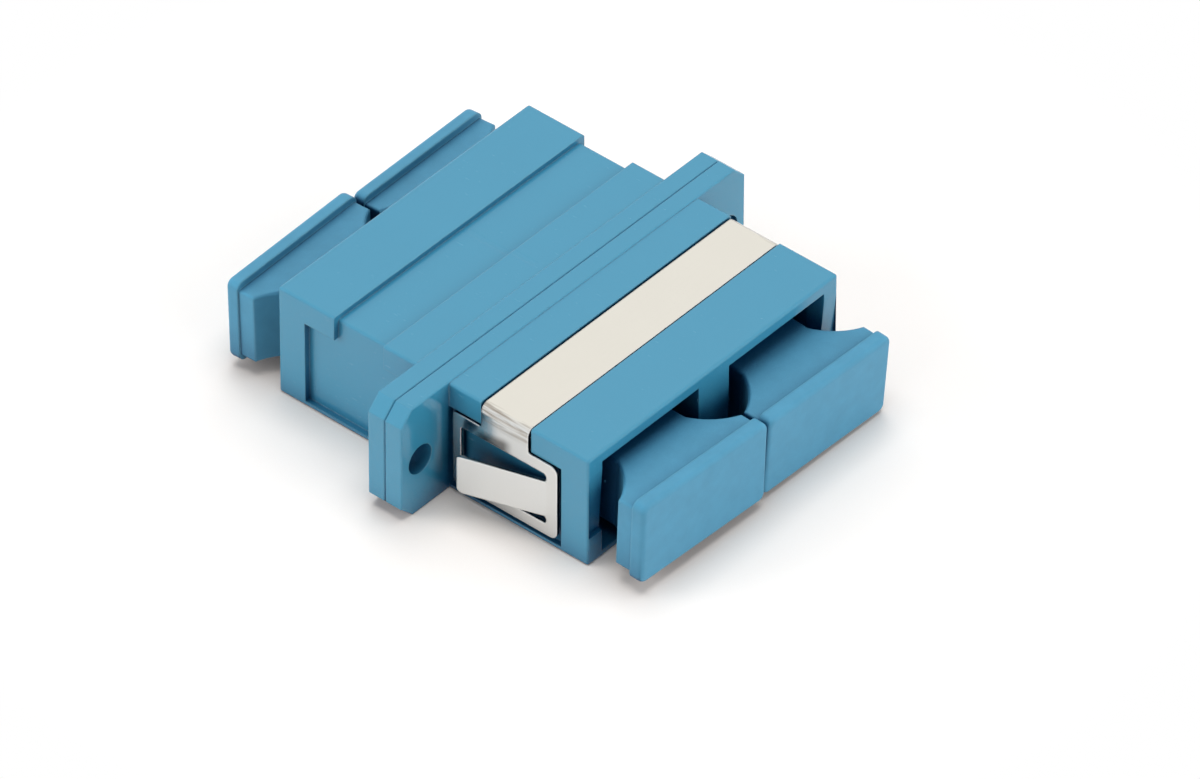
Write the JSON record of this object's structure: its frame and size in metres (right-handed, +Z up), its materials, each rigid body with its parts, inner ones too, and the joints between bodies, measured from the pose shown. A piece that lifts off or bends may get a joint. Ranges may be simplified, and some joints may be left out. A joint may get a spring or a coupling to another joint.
{
  "type": "fibre optic adapter",
  "caption": "Flanged fibre adapter with square ports side by side at both ends, a sprung steel panel clip, screw holes and push-in dust caps.",
  "frame": {"origin": "in the weld seam of the housing halves, midway between the ports, on the surface that the adapter rests on", "axes": "+X out of the ports at the clip's end, +Y across the ports, +Z up"},
  "size_m": [0.0375, 0.0352, 0.0093],
  "materials": {
    "housing_blue": "satin moulded",
    "cap_blue": "satin moulded, softer",
    "clip_steel": "rolled strip, satin",
    "sleeve_ceramic": "polished",
    "holder_plastic": "satin moulded"
  },
  "bodies": {
    "adapter": {"front_housing": "housing_blue", "rear_housing": "housing_blue", "panel_clip": "clip_steel", "split_sleeve_left": "sleeve_ceramic", "split_sleeve_right": "sleeve_ceramic", "front_holder_left": "holder_plastic", "front_holder_right": "holder_plastic", "rear_holder_left": "holder_plastic", "rear_holder_right": "holder_plastic"},
    "front_cap_left": {"front_cap_left": "cap_blue"},
    "front_cap_right": {"front_cap_right": "cap_blue"},
    "rear_cap_left": {"rear_cap_left": "cap_blue"},
    "rear_cap_right": {"rear_cap_right": "cap_blue"}
  },
  "joints": [
    {"name": "front_left_cap_pull", "type": "slide", "parent": "adapter", "child": "front_cap_left", "axis": [1, 0, 0], "range_m": [0, 0.025]},
    {"name": "front_right_cap_pull", "type": "slide", "parent": "adapter", "child": "front_cap_right", "axis": [1, 0, 0], "range_m": [0, 0.025]},
    {"name": "rear_left_cap_pull", "type": "slide", "parent": "adapter", "child": "rear_cap_left", "axis": [-1, 0, 0], "range_m": [0, 0.025]},
    {"name": "rear_right_cap_pull", "type": "slide", "parent": "adapter", "child": "rear_cap_right", "axis": [-1, 0, 0], "range_m": [0, 0.025]}
  ]
}
